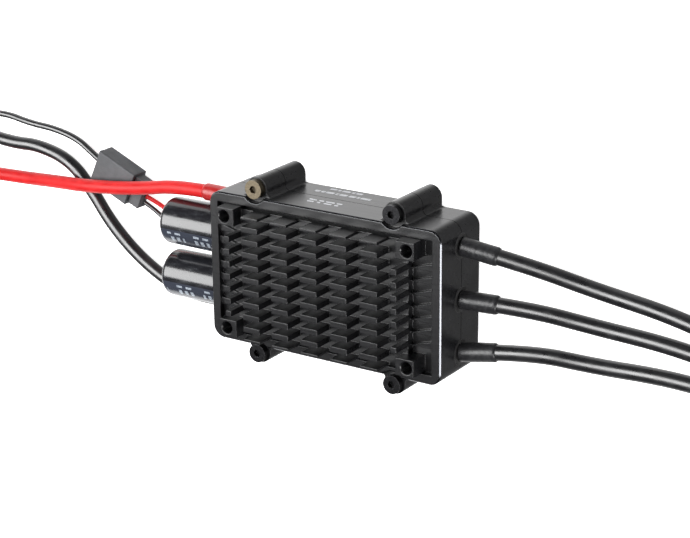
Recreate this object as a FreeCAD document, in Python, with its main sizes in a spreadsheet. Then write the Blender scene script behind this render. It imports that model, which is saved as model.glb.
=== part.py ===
import FreeCAD, Part
import math
import os
import re

import Sketcher
from FreeCAD import Placement, Rotation, Vector

# Electronic speed controller lying on its back cover: two aluminium half shells with a pin-fin
# heatsink on top, three motor wires on one end, two power wires, two bulk capacitors and a
# signal lead on the other. Origin: centre of the back face. +Z out through the fins,
# +X towards the motor wires. Millimetres.

SIZES = {
    # housing
    "case_length": 67.4,
    "case_width": 39.0,
    "case_corner": 3.2,
    "wall_thick": 1.8,
    "seam_level": 9.06,
    "rim_level": 18.7,
    "rim_chamfer": 0.35,
    "back_floor": 1.6,
    "back_edge": 0.5,
    "cavity_top": 13.2,
    # heatsink
    "recess_length": 62.4,
    "recess_width": 34.0,
    "moat_level": 17.0,
    "channel_level": 19.2,
    "fin_level": 24.8,
    "fin_length": 4.8,
    "fin_thick": 1.45,
    "fin_pitch_long": 8.63,
    "fin_pitch_cross": 3.27,
    "fin_block_long": 50.0,
    "fin_block_cross": 32.6,
    "end_rib_level": 17.9,
    "end_rib_narrow": 0.15,
    "end_rib_wide": 2.0,
    # corner posts and their threaded holes
    "post_level": 22.6,
    "post_length": 4.9,
    "post_width": 4.4,
    "post_inset": 0.45,
    "post_gap": 0.8,
    "post_spacing_long": 52.9,
    "post_spacing_cross": 29.4,
    "post_hole_radius": 1.5,
    "post_hole_deep": 7.4,
    "post_countersink": 0.25,
    # screw lugs on the long sides
    "lug_spacing_long": 40.0,
    "lug_spacing_cross": 43.2,
    "lug_radius": 2.9,
    "lug_flare": 1.5,
    "lug_front": 17.1,
    "screw_clear_radius": 1.4,
    "screw_shank_radius": 1.25,
    "screw_head_radius": 2.4,
    "screw_head_tall": 1.8,
    "screw_socket_across": 1.8,
    "screw_notch_radius": 3.4,
    "screw_end_level": 3.0,
    # boards
    "power_board_length": 61.0,
    "power_board_width": 33.0,
    "power_board_thick": 1.6,
    "power_board_level": 5.2,
    "control_board_length": 36.0,
    "control_board_width": 24.0,
    "control_board_thick": 1.0,
    "control_board_level": 2.7,
    "transistor_long": 6.0,
    "transistor_wide": 5.0,
    "transistor_tall": 1.0,
    "board_foot_radius": 1.6,
    "thermal_pad_length": 40.0,
    "thermal_pad_width": 24.0,
    "thermal_pad_thick": 1.0,
    # bulk capacitors
    "capacitor_radius": 6.25,
    "capacitor_wall": 0.15,
    "capacitor_tall": 20.5,
    "capacitor_upper_row": 6.0,
    "capacitor_lower_row": -8.3,
    "capacitor_seat_deep": 0.8,
    # wires
    "motor_wire_radius": 2.0,
    "motor_sleeve_radius": 2.4,
    "motor_wire_row": 13.5,
    "power_wire_radius": 1.8,
    "power_sleeve_radius": 2.25,
    "positive_row": 15.2,
    "negative_row": -15.2,
    "negative_level": 4.1,
    "signal_wire_radius": 0.6,
    "signal_row": 1.0,
    "signal_level": 2.6,
    "lead_radius": 0.9,
    # signal connector
    "socket_length": 12.5,
    "socket_width": 9.6,
    "socket_tall": 5.4,
    "nose_length": 4.5,
    "nose_width": 7.4,
    "nose_tall": 2.5,
    "grip_length": 3.6,
    "grip_rise": 0.35,
    "contact_pitch": 2.54,
    "contact_radius": 0.55,
    "pin_radius": 0.35,
    "connector_turn": -24.0,
}

DOC = FreeCAD.newDocument("speed_controller")
NODES = []


def make_sheet():
    """The spreadsheet that holds every driving size."""
    made = DOC.addObject("Spreadsheet::Sheet", "Sizes")
    for row, (alias, value) in enumerate(SIZES.items(), start=1):
        made.set(f"A{row}", alias)
        made.set(f"B{row}", str(value))
        made.setAlias(f"B{row}", alias)
    DOC.recompute()
    return made


SHEET = make_sheet()


def size(alias):
    return float(SHEET.get(alias))


def cells(text):
    """An expression in which each plain word names a cell of the sheet."""
    return re.sub(r"[a-z]+(_[a-z]+)+", lambda word: "Sizes." + word.group(), text)


def bind(thing, **fields):
    for field, text in fields.items():
        thing.setExpression(field, cells(text))
    return thing


def node(thing, name):
    """Marks a finished object as one sub-part of the controller."""
    thing.Label = name
    NODES.append(thing)
    return thing


# ---------------------------------------------------------------- sketch and body helpers


def new_body(name):
    return node(DOC.addObject("PartDesign::Body", name + "_body"), name)


def origin_plane(body, role):
    return next(f for f in body.Origin.OriginFeatures if f.Role == role)


def sketch(body, name, plane="XY_Plane", level="0"):
    """An empty sketch on one of the body's own planes, lifted along that plane's normal."""
    made = body.newObject("Sketcher::SketchObject", name)
    made.AttachmentSupport = [(origin_plane(body, plane), "")]
    made.MapMode = "FlatFace"
    made.setExpression("AttachmentOffset.Base.z", cells(level))
    return made


def dimension(made, kind, places, text):
    """A driving dimension whose value comes from an expression."""
    index = made.addConstraint(Sketcher.Constraint(kind, *places, 1.0))
    made.setExpression(f"Constraints[{index}]", cells(text))


def add_polygon(made, corners):
    """A closed outline through corners, each an (x, y) pair of expressions."""
    count = len(corners)
    turn = 2 * math.pi / count
    around = [Vector(math.cos(i * turn), math.sin(i * turn), 0) for i in range(count)]
    first = made.GeometryCount
    for i in range(count):
        made.addGeometry(Part.LineSegment(around[i], around[(i + 1) % count]), False)
    for i in range(count):
        here, after = first + i, first + (i + 1) % count
        made.addConstraint(Sketcher.Constraint("Coincident", here, 2, after, 1))
    for i, (across, up) in enumerate(corners):
        dimension(made, "DistanceX", (-1, 1, first + i, 1), across)
        dimension(made, "DistanceY", (-1, 1, first + i, 1), up)


def add_rectangle(made, x_low, y_low, x_high, y_high):
    add_polygon(made, [(x_low, y_low), (x_high, y_low), (x_high, y_high), (x_low, y_high)])


def add_centred(made, wide, tall, x="0", y="0"):
    add_rectangle(
        made,
        f"{x} - ({wide})/2",
        f"{y} - ({tall})/2",
        f"{x} + ({wide})/2",
        f"{y} + ({tall})/2",
    )


def add_circle(made, x, y, radius):
    index = made.addGeometry(Part.Circle(Vector(1, 1, 0), Vector(0, 0, 1), 1), False)
    dimension(made, "DistanceX", (-1, 1, index, 3), x)
    dimension(made, "DistanceY", (-1, 1, index, 3), y)
    dimension(made, "Radius", (index,), radius)


def pad(body, made, length):
    feature = body.newObject("PartDesign::Pad", made.Name + "_pad")
    feature.Profile = made
    bind(feature, Length=length)
    DOC.recompute()
    return feature


def pocket(body, made, length, reverse=False):
    """A cut against the sketch's normal, or along it if reversed, that must remove something."""
    before = body.Shape.Volume
    feature = body.newObject("PartDesign::Pocket", made.Name + "_cut")
    feature.Profile = made
    feature.Reversed = reverse
    bind(feature, Length=length)
    DOC.recompute()
    if body.Shape.Volume > before - 1e-4:
        raise RuntimeError(f"{feature.Name} cuts nothing")
    return feature


def pattern(body, feature, sketch_axis, step, count):
    """Repeats one feature along an axis of its own sketch."""
    made = body.newObject("PartDesign::LinearPattern", feature.Name + "_row")
    made.Originals = [feature]
    made.Direction = (feature.Profile[0], [sketch_axis])
    made.Occurrences = count
    bind(made, Length=f"({step}) * {count - 1}")
    body.Tip = made
    DOC.recompute()
    return made


def dress(body, kind, wanted, **fields):
    """A fillet or chamfer on the edges of the body's tip that pass the test."""
    base = body.Tip
    names = [f"Edge{i}" for i, edge in enumerate(base.Shape.Edges, start=1) if wanted(edge)]
    if not names:
        raise RuntimeError(f"no edge to dress on {base.Name}")
    made = body.newObject("PartDesign::" + kind, f"{base.Name}_{kind.lower()}")
    made.Base = (base, names)
    bind(made, **fields)
    DOC.recompute()
    return made


def upright(edge):
    low, high = edge.BoundBox.ZMin, edge.BoundBox.ZMax
    return high - low > 0.9 * edge.Length > 0.5


def at_level(edge, level):
    return abs(edge.BoundBox.ZMin - level) < 1e-4 and abs(edge.BoundBox.ZMax - level) < 1e-4


# ---------------------------------------------------------------- solid helpers


def box(name, length, width, height, middle, low):
    """A block: its three sizes are expressions, its place the middle (x, y) and the low z."""
    made = DOC.addObject("Part::Box", name)
    bind(made, Length=length, Width=width, Height=height)
    DOC.recompute()
    x = middle[0] - made.Length.Value / 2
    y = middle[1] - made.Width.Value / 2
    made.Placement = Placement(Vector(x, y, low), Rotation())
    return made


def cylinder(name, radius, height, base, along=(0, 0, 1)):
    made = DOC.addObject("Part::Cylinder", name)
    bind(made, Radius=radius, Height=height)
    made.Placement = Placement(Vector(*base), Rotation(Vector(0, 0, 1), Vector(*along)))
    return made


def cut(name, base, tool):
    made = DOC.addObject("Part::Cut", name)
    made.Base = base
    made.Tool = tool
    return made


def fuse(name, members):
    made = DOC.addObject("Part::MultiFuse", name)
    made.Shapes = members
    return made


def group(name, members):
    """Identical pieces that share one sub-part, each a separate solid."""
    made = DOC.addObject("Part::Compound", name + "_group")
    made.Links = members
    return node(made, name)


def solid(name, shape, place=None):
    """A sub-part whose shape is worked out in code."""
    made = DOC.addObject("Part::Feature", name + "_solid")
    made.Shape = shape
    made.Placement = place or Placement()
    return node(made, name)


def tube(name, outer, inner, height, base, along):
    return cut(
        name,
        cylinder(name + "_outer", outer, height, base, along),
        cylinder(name + "_inner", inner, height, base, along),
    )


# ---------------------------------------------------------------- places that repeat

LUGS = [(sx, sy) for sy in (1, -1) for sx in (-1, 1)]
BOARD_FEET = [(-27, -12), (-27, 12), (27, -13.5), (27, 13.5)]
MOTOR_ROWS = {"upper": 1, "middle": 0, "lower": -1}
MOTOR_END = size("case_length") / 2
SUPPLY_END = -size("case_length") / 2
SEAM = size("seam_level")


def lug_place(sx, sy):
    return sx * size("lug_spacing_long") / 2, sy * size("lug_spacing_cross") / 2


def add_lug_outlines(made):
    """Round-nosed lugs that reach from inside the side wall out past the screw."""
    for sx, sy in LUGS:
        x, y = f"{sx} * lug_spacing_long/2", f"{sy} * lug_spacing_cross/2"
        root = f"{sy} * (case_width/2 - wall_thick/2)"
        add_rectangle(made, f"{x} - lug_radius", root, f"{x} + lug_radius", y)


def add_lug_circles(made, radius):
    for sx, sy in LUGS:
        add_circle(made, f"{sx} * lug_spacing_long/2", f"{sy} * lug_spacing_cross/2", radius)


def lugs(body, level, length):
    """The four lugs of one half shell, with a flared foot where they leave the wall."""
    blocks = sketch(body, body.Label + "_lug_blocks", level=level)
    add_lug_outlines(blocks)
    pad(body, blocks, length)
    noses = sketch(body, body.Label + "_lug_noses", level=level)
    add_lug_circles(noses, "lug_radius")
    pad(body, noses, length)

    def foot(edge):
        middle = edge.BoundBox.Center
        beside = abs(abs(middle.x) - size("lug_spacing_long") / 2) - size("lug_radius")
        return (
            upright(edge)
            and abs(beside) < 1e-3
            and abs(abs(middle.y) - size("case_width") / 2) < 1e-3
        )

    dress(body, "Fillet", foot, Radius="lug_flare")


def wire_ports(body):
    """Round ports through both end walls, centred on the seam, and the capacitor seats."""
    right = sketch(body, body.Label + "_motor_ports", "YZ_Plane", "case_length/2 + 1")
    for step in MOTOR_ROWS.values():
        add_circle(right, f"{step} * motor_wire_row", "seam_level", "motor_sleeve_radius + 0.8")
    pocket(body, right, "wall_thick + 1.5")
    seats = sketch(body, body.Label + "_capacitor_seats", "YZ_Plane", "-case_length/2 - 1")
    for row in ("capacitor_upper_row", "capacitor_lower_row"):
        add_circle(seats, row, "seam_level", "capacitor_radius + 0.1")
    pocket(body, seats, "capacitor_seat_deep + 1", reverse=True)
    leads = sketch(body, body.Label + "_lead_slots", "YZ_Plane", "-case_length/2 - 1")
    for row in ("capacitor_upper_row", "capacitor_lower_row"):
        add_centred(leads, "7", "1.6", row, "seam_level")
    pocket(body, leads, "wall_thick + 1.5", reverse=True)
    positive = sketch(body, body.Label + "_positive_port", "YZ_Plane", "-case_length/2 - 1")
    add_circle(positive, "positive_row", "seam_level", "power_sleeve_radius + 0.5")
    pocket(body, positive, "wall_thick + 2.5", reverse=True)


# ---------------------------------------------------------------- housing


def pin_fins(body):
    """A block rising out of the moat, cut into pins by channels both ways."""
    block = sketch(body, "fin_block", level="moat_level")
    add_centred(block, "fin_block_long", "fin_block_cross")
    pad(body, block, "fin_level - moat_level")
    depth = "fin_level - channel_level"
    along = sketch(body, "long_channel", level="fin_level")
    first_row = "-4.5 * fin_pitch_cross"
    add_centred(along, "fin_block_long + 0.4", "fin_pitch_cross - fin_thick", y=first_row)
    pattern(body, pocket(body, along, depth), "V_Axis", "fin_pitch_cross", 10)
    across = sketch(body, "cross_channel", level="fin_level")
    first_column = "-2.5 * fin_pitch_long"
    add_centred(across, "fin_pitch_long - fin_length", "fin_block_cross + 0.4", x=first_column)
    pattern(body, pocket(body, across, depth), "H_Axis", "fin_pitch_long", 6)


def corner_posts(body):
    """Four posts in cleared corners of the fin field, each with a countersunk threaded hole."""
    clear = sketch(body, "post_clearance", level="fin_level")
    posts = sketch(body, "posts", level="moat_level")
    holes = sketch(body, "post_holes", level="post_level")
    for sx, sy in LUGS:
        x, y = f"{sx} * post_spacing_long/2", f"{sy} * post_spacing_cross/2"
        middle = f"{sx} * (post_spacing_long/2 - post_inset)"
        add_centred(clear, "post_length + 2*post_gap", "post_width + 2*post_gap", middle, y)
        add_centred(posts, "post_length", "post_width", middle, y)
        add_circle(holes, x, y, "post_hole_radius")
    pocket(body, clear, "fin_level - channel_level")
    pad(body, posts, "post_level - moat_level")
    pocket(body, holes, "post_hole_deep")
    top, hole = size("post_level"), size("post_hole_radius")

    def mouth(edge):
        return at_level(edge, top) and abs(edge.Length - 2 * math.pi * hole) < 1e-3

    dress(body, "Chamfer", mouth, Size="post_countersink")


def end_ribs(body):
    """Low ribs in the moat, in line with the fins, each wider where it meets the end wall."""
    ribs = sketch(body, "end_ribs", level="moat_level")
    for sx in (-1, 1):
        wall = f"{sx} * (recess_length/2 + 0.2)"
        tip = f"{sx} * (fin_block_long/2 - 0.2)"
        for row in range(-3, 4):
            low = f"{row} * fin_pitch_cross - fin_thick/2"
            corners = [
                (tip, low),
                (wall, low),
                (wall, f"{low} + end_rib_wide"),
                (tip, f"{low} + end_rib_narrow"),
            ]
            add_polygon(ribs, corners)
    pad(body, ribs, "end_rib_level - moat_level")


def heatsink_shell():
    """Front half: side walls up to a flat rim, a sunken field of pin fins and four posts."""
    body = new_body("heatsink_shell")
    outline = sketch(body, "front_outline", level="seam_level")
    add_centred(outline, "case_length", "case_width")
    pad(body, outline, "rim_level - seam_level")
    dress(body, "Fillet", upright, Radius="case_corner")
    notches = sketch(body, "head_notches", level="rim_level")
    add_lug_circles(notches, "screw_notch_radius")
    pocket(body, notches, "rim_level - lug_front")
    rim = size("rim_level")
    dress(body, "Chamfer", lambda edge: at_level(edge, rim), Size="rim_chamfer")

    recess = sketch(body, "fin_recess", level="rim_level")
    add_centred(recess, "recess_length", "recess_width")
    pocket(body, recess, "rim_level - moat_level")
    cavity = sketch(body, "front_cavity", level="seam_level")
    add_centred(cavity, "case_length - 2*wall_thick", "case_width - 2*wall_thick")
    pocket(body, cavity, "cavity_top - seam_level", reverse=True)

    pin_fins(body)
    corner_posts(body)
    end_ribs(body)
    lugs(body, "seam_level", "lug_front - seam_level")
    bores = sketch(body, "front_screw_bores", level="lug_front")
    add_lug_circles(bores, "screw_clear_radius")
    pocket(body, bores, "lug_front - seam_level")
    wire_ports(body)


def back_shell():
    """Back half: a flat floor with the mounting face, and walls up to the seam."""
    body = new_body("back_shell")
    outline = sketch(body, "back_outline")
    add_centred(outline, "case_length", "case_width")
    pad(body, outline, "seam_level")
    dress(body, "Fillet", upright, Radius="case_corner")
    dress(body, "Chamfer", lambda edge: at_level(edge, 0), Size="back_edge")
    cavity = sketch(body, "back_cavity", level="seam_level")
    add_centred(cavity, "case_length - 2*wall_thick", "case_width - 2*wall_thick")
    pocket(body, cavity, "seam_level - back_floor")
    lugs(body, "0", "seam_level")
    bores = sketch(body, "back_screw_bores", level="seam_level")
    add_lug_circles(bores, "screw_shank_radius")
    pocket(body, bores, "seam_level - screw_end_level + 0.4")
    wire_ports(body)
    port = sketch(body, "negative_port", "YZ_Plane", "-case_length/2 - 1")
    add_circle(port, "negative_row", "negative_level", "power_wire_radius + 0.4")
    pocket(body, port, "wall_thick + 2.5", reverse=True)
    slot = sketch(body, "signal_port", "YZ_Plane", "-case_length/2 - 1")
    add_centred(slot, "3.4", "2.0", "signal_row", "signal_level")
    pocket(body, slot, "wall_thick + 1.5", reverse=True)


def insulating_film():
    """A thin film on the back floor, with holes for the board's feet."""
    floor = size("back_floor")
    sheet = box("film_sheet", "control_board_length + 22", "31", "0.2", (0, 0), floor)
    holes = [
        cylinder(f"film_hole_{i}", "board_foot_radius + 0.2", "0.2", (x, y, floor))
        for i, (x, y) in enumerate(BOARD_FEET)
    ]
    node(cut("film_cut", sheet, fuse("film_holes", holes)), "insulating_film")


def case_screw(index, sx, sy):
    """A cap screw with a hexagon socket: head, shank and socket."""
    x, y = lug_place(sx, sy)
    seat = size("lug_front")
    head = cylinder(f"screw_head_{index}", "screw_head_radius", "screw_head_tall", (x, y, seat))
    reach = "lug_front - screw_end_level"
    shank = cylinder(
        f"screw_shank_{index}", "screw_shank_radius", reach, (x, y, size("screw_end_level"))
    )
    whole = fuse(f"screw_whole_{index}", [head, shank])
    socket = DOC.addObject("Part::Prism", f"screw_socket_{index}")
    socket.Polygon = 6
    bind(socket, Circumradius="screw_socket_across/1.732", Height="screw_head_tall")
    socket.Placement = Placement(Vector(x, y, seat + 0.6), Rotation())
    return cut(f"screw_{index}", whole, socket)


def case_screws():
    made = [case_screw(i, sx, sy) for i, (sx, sy) in enumerate(LUGS)]
    node(made[0], "case_screw_plated")
    group("case_screws", made[1:])


# ---------------------------------------------------------------- electronics


def boards():
    """The power board carries the transistors; the control board hangs below it."""
    board_size = ("power_board_length", "power_board_width", "power_board_thick")
    node(box("power_blank", *board_size, (0, 0), size("power_board_level")), "power_board")
    control_size = ("control_board_length", "control_board_width", "control_board_thick")
    middle = (2, 0)
    level = size("control_board_level")
    node(box("control_blank", *control_size, middle, level), "control_board")


def power_parts():
    """Transistors in two rows under the heatsink, the pad above them and the shunts."""
    top = size("power_board_level") + size("power_board_thick")
    chip = ("transistor_long", "transistor_wide", "transistor_tall")
    places = [(x, y) for y in (-8.5, -2.9, 2.9, 8.5) for x in (-16, -8.5, -1, 6.5, 14)]
    members = [box(f"transistor_{i}", *chip, at, top) for i, at in enumerate(places)]
    group("power_transistors", members)
    pad_low = top + size("transistor_tall")
    pad_size = ("thermal_pad_length", "thermal_pad_width")
    node(box("pad_blank", *pad_size, "thermal_pad_thick", (-1, 0), pad_low), "thermal_pad")
    spreader_low = pad_low + size("thermal_pad_thick")
    rise = f"cavity_top - {spreader_low}"
    node(box("spreader_blank", *pad_size, rise, (-1, 0), spreader_low), "heat_spreader")
    shunts = [box(f"shunt_{i}", "4", "2.4", "0.7", (21.3, y), top) for i, y in enumerate((-4, 4))]
    group("current_shunts", shunts)
    bars = [
        box(f"bus_bar_{i}", "2.4", "26", "1.2", (x, 0), top) for i, x in enumerate((-22.6, -26.2))
    ]
    group("copper_bus_bars", bars)


def control_parts():
    """Chips under the control board and the pin header that joins the two boards."""
    low = size("control_board_level")
    group(
        "gate_drivers",
        [box(f"driver_{i}", "4", "4", "0.8", (9, y), low - 0.8) for i, y in enumerate((-7, 0, 7))],
    )
    node(box("processor", "7", "7", "0.8", (-1, 0), low - 0.8), "microcontroller")
    spots = [(-9, y) for y in (-8, -4, 0, 4, 8)] + [(-6, -8), (-6, 8)]
    chips = [box(f"ceramic_{i}", "1.6", "0.8", "0.7", at, low - 0.7) for i, at in enumerate(spots)]
    group("ceramic_capacitors", chips)
    gap_low = low + size("control_board_thick")
    gap = "power_board_level - control_board_level - control_board_thick"
    node(box("header_blank", "2.2", "15", gap, (17.5, 0), gap_low), "board_header")
    rise = "power_board_level - back_floor"
    feet = [
        cylinder(f"board_foot_{i}", "board_foot_radius", rise, (x, y, size("back_floor")))
        for i, (x, y) in enumerate(BOARD_FEET)
    ]
    group("board_feet", feet)


# ---------------------------------------------------------------- bulk capacitors


def capacitors():
    """Two cans lying side by side in seats of the end wall, sleeved, with leads inwards."""
    start = SUPPLY_END + size("capacitor_seat_deep")
    away = (-1, 0, 0)
    cans, sleeves, bungs, leads, crimps = [], [], [], [], []
    for i, row in enumerate((size("capacitor_upper_row"), size("capacitor_lower_row"))):
        base = (start, row, SEAM)
        bungs.append(cylinder(f"bung_{i}", "capacitor_radius - 0.6", "1.2", base, away))
        can_base = (start - 1.2, row, SEAM)
        inside = "capacitor_radius - capacitor_wall"
        body = cylinder(f"can_body_{i}", inside, "capacitor_tall - 1.5", can_base, away)
        rounded = DOC.addObject("Part::Fillet", f"can_{i}")
        rounded.Base = body
        DOC.recompute()
        far_end = can_base[0] - size("capacitor_tall") + 1.5
        rounded.Edges = [
            (k, 0.8, 0.8)
            for k, edge in enumerate(body.Shape.Edges, start=1)
            if abs(edge.BoundBox.XMax - far_end) < 1e-3
        ]
        cans.append(rounded)
        sleeve = ("capacitor_radius", "capacitor_radius - capacitor_wall", "capacitor_tall - 2.3")
        sleeves.append(tube(f"can_sleeve_{i}", *sleeve, can_base, away))
        crimps.append(
            tube(f"crimp_{i}", "capacitor_radius", "capacitor_radius - 0.6", "1.2", base, away)
        )
        for side in (-2.5, 2.5):
            place = (start, row + side, SEAM)
            leads.append(cylinder(f"lead_{i}_{side:+.0f}", "0.4", "5.5", place, (1, 0, 0)))
    group("capacitor_cans", cans)
    group("capacitor_sleeves", sleeves)
    group("capacitor_bungs", bungs)
    group("capacitor_leads", leads)
    group("capacitor_crimps", crimps)


# ---------------------------------------------------------------- wires


def rounded_path(points):
    """Straight runs joined by arcs as large as both runs beside each corner allow."""
    spots = [Vector(*p) for p in points]
    edges, radii = [], []
    start = spots[0]
    for before, corner, after in zip(spots, spots[1:], spots[2:]):
        inward = (before - corner).normalize()
        outward = (after - corner).normalize()
        turn = math.pi - inward.getAngle(outward)
        shorter = min((before - corner).Length, (after - corner).Length)
        reach = 0.45 * shorter
        radius = reach / math.tan(turn / 2)
        first, last = corner + inward * reach, corner + outward * reach
        bisector = (inward + outward).normalize()
        to_centre = radius / math.cos(turn / 2)
        middle = corner + bisector * (to_centre - radius)
        edges.append(Part.LineSegment(start, first).toShape())
        edges.append(Part.Arc(first, middle, last).toShape())
        radii.append(radius)
        start = last
    edges.append(Part.LineSegment(start, spots[-1]).toShape())
    return Part.Wire(edges), radii


def case_block():
    """The room inside the end walls' outer faces, cut away from whatever leans on them."""
    length, width = size("case_length"), size("case_width")
    return Part.makeBox(length, width, size("rim_level"), Vector(-length / 2, -width / 2, 0))


def cord(name, points, radius, from_wall=True):
    """A round wire along its route, checked against section times length.

    One that leaves a wall starts a little inside it and is trimmed flush with the wall.
    """
    if from_wall:
        first, after = Vector(*points[0]), Vector(*points[1])
        points = [tuple(first - (after - first).normalize()), *points[1:]]
    path, radii = rounded_path(points)
    direction = Vector(*points[1]) - Vector(*points[0])
    ring = Part.Wire(Part.Circle(Vector(*points[0]), direction, radius).toShape())
    shape = path.makePipeShell([ring], True, True)
    expected = math.pi * radius**2 * path.Length
    print(
        f"{name}: length {path.Length:.1f}, volume ratio {shape.Volume / expected:.4f}, "
        f"least radius {min(radii):.1f} = {min(radii) / (2 * radius):.1f} diameters"
    )
    solid(name, shape.cut(case_block()) if from_wall else shape)


def wire_tip(name, points, radius):
    """A tinned bare end that carries on from the last run of a wire."""
    last, before = Vector(*points[-1]), Vector(*points[-2])
    along = (last - before).normalize()
    return cylinder(name, radius, "6", tuple(last), tuple(along))


MOTOR_ROUTES = {
    "upper": [
        (MOTOR_END, size("motor_wire_row"), SEAM),
        (50.0, 10.4, 5.6),
        (66.5, 6.1, 2.3),
        (83.0, 3.9, 2.0),
        (97.0, 0.6, 2.0),
        (109.0, -0.6, 2.0),
    ],
    "middle": [
        (MOTOR_END, 0.0, SEAM),
        (50.0, -0.3, 5.8),
        (66.5, -2.9, 2.3),
        (83.0, -3.7, 2.0),
        (97.0, -5.6, 2.0),
        (109.0, -6.2, 2.0),
    ],
    "lower": [
        (MOTOR_END, -size("motor_wire_row"), SEAM),
        (50.6, -10.9, 6.2),
        (66.5, -12.7, 2.2),
        (83.0, -11.9, 2.0),
        (97.0, -12.6, 2.0),
        (109.0, -12.0, 2.0),
    ],
}
POSITIVE_ROUTE = [
    (SUPPLY_END, size("positive_row"), SEAM),
    (-49.5, 15.6, 8.8),
    (-66.0, 12.0, 8.0),
    (-83.0, 10.2, 8.2),
    (-97.0, 8.6, 4.9),
    (-110.0, 6.8, 1.8),
    (-123.0, 6.4, 1.8),
]
NEGATIVE_ROUTE = [
    (SUPPLY_END, size("negative_row"), size("negative_level")),
    (-44.5, -16.6, 2.9),
    (-58.0, -16.2, 1.8),
    (-70.5, -10.0, 1.8),
    (-80.2, -1.6, 1.8),
    (-86.2, 6.6, 1.8),
    (-93.6, 14.2, 1.8),
    (-105.0, 17.0, 1.8),
    (-114.5, 16.4, 1.8),
    (-123.0, 17.4, 1.8),
]

CONNECTOR_SPOT = Vector(-76.3, 12.8, 0)
CONNECTOR_TURN = Rotation(Vector(0, 0, 1), size("connector_turn"))
CONNECTOR_PLACE = Placement(CONNECTOR_SPOT, CONNECTOR_TURN)


def on_connector(x, y, z):
    """A point given along the connector: x out of the socket's mouth, y across, z up."""
    found = CONNECTOR_PLACE.multVec(Vector(x, y, z))
    return (found.x, found.y, found.z)


SIGNAL_ROUTES = {
    "red": [
        (SUPPLY_END, 1.8, size("signal_level")),
        (-37.4, 1.85, 1.9),
        (-41.5, 2.0, 0.9),
        (-48.0, 2.2, 0.6),
        (-54.5, 2.7, 0.6),
        (-60.3, 4.0, 0.6),
        (-63.9, 6.6, 1.2),
        on_connector(10.0, -0.6, 2.0),
    ],
    "black": [
        (SUPPLY_END, 0.2, size("signal_level")),
        (-37.8, 0.15, 1.6),
        (-43.0, 0.0, 0.7),
        (-49.5, -0.3, 0.6),
        (-56.0, -0.2, 0.6),
        (-61.6, 1.3, 0.6),
        (-64.9, 4.2, 1.0),
        on_connector(10.0, -2.6, 1.9),
    ],
}
EXTENSION_ROUTE = [
    on_connector(-6.45, 0.6, 2.7),
    on_connector(-10.75, 0.5, 1.8),
    (-91.5, 20.4, 0.9),
    (-99.5, 22.2, 0.9),
    (-108.5, 22.6, 0.9),
    (-117.5, 24.2, 0.9),
    (-126.0, 23.2, 0.9),
    (-131.6, 17.6, 0.9),
    (-132.6, 9.6, 0.9),
    (-131.4, 3.2, 2.4),
]
CONTACT_ROWS = (-1, 0, 1)


def wires():
    """Three motor wires and two power wires, each with its tinned end."""
    motor_radius = size("motor_wire_radius")
    power_radius = size("power_wire_radius")
    for row, route in MOTOR_ROUTES.items():
        cord(f"motor_wire_{row}", route, motor_radius)
    cord("power_wire_positive", POSITIVE_ROUTE, power_radius)
    cord("power_wire_negative", NEGATIVE_ROUTE, power_radius)
    motor_tips = [
        wire_tip(f"motor_tip_{row}", route, "motor_wire_radius - 0.6")
        for row, route in MOTOR_ROUTES.items()
    ]
    group("motor_wire_tips", motor_tips)
    power_tips = [
        wire_tip(f"power_tip_{i}", route, "power_wire_radius - 0.55")
        for i, route in enumerate((POSITIVE_ROUTE, NEGATIVE_ROUTE))
    ]
    group("power_wire_tips", power_tips)


def sleeve_on(name, route, outer, inner, length):
    """A heat-shrink sleeve over the first straight stretch of a wire."""
    first, after = Vector(*route[0]), Vector(*route[1])
    along = (after - first).normalize()
    whole = tube(name, outer, inner, length, tuple(first - along), tuple(along))
    wall = box(name + "_wall", "case_length", "case_width", "rim_level", (0, 0), 0)
    return cut(name + "_trimmed", whole, wall)


def sleeves():
    """Heat-shrink sleeves where the wires leave the housing."""
    sizes = ("motor_sleeve_radius", "motor_wire_radius", "10.4")
    members = [sleeve_on(f"sleeve_{row}", route, *sizes) for row, route in MOTOR_ROUTES.items()]
    group("motor_wire_sleeves", members)
    sizes = ("power_sleeve_radius", "power_wire_radius", "9.4")
    node(sleeve_on("sleeve_positive", POSITIVE_ROUTE, *sizes), "positive_sleeve")


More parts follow.
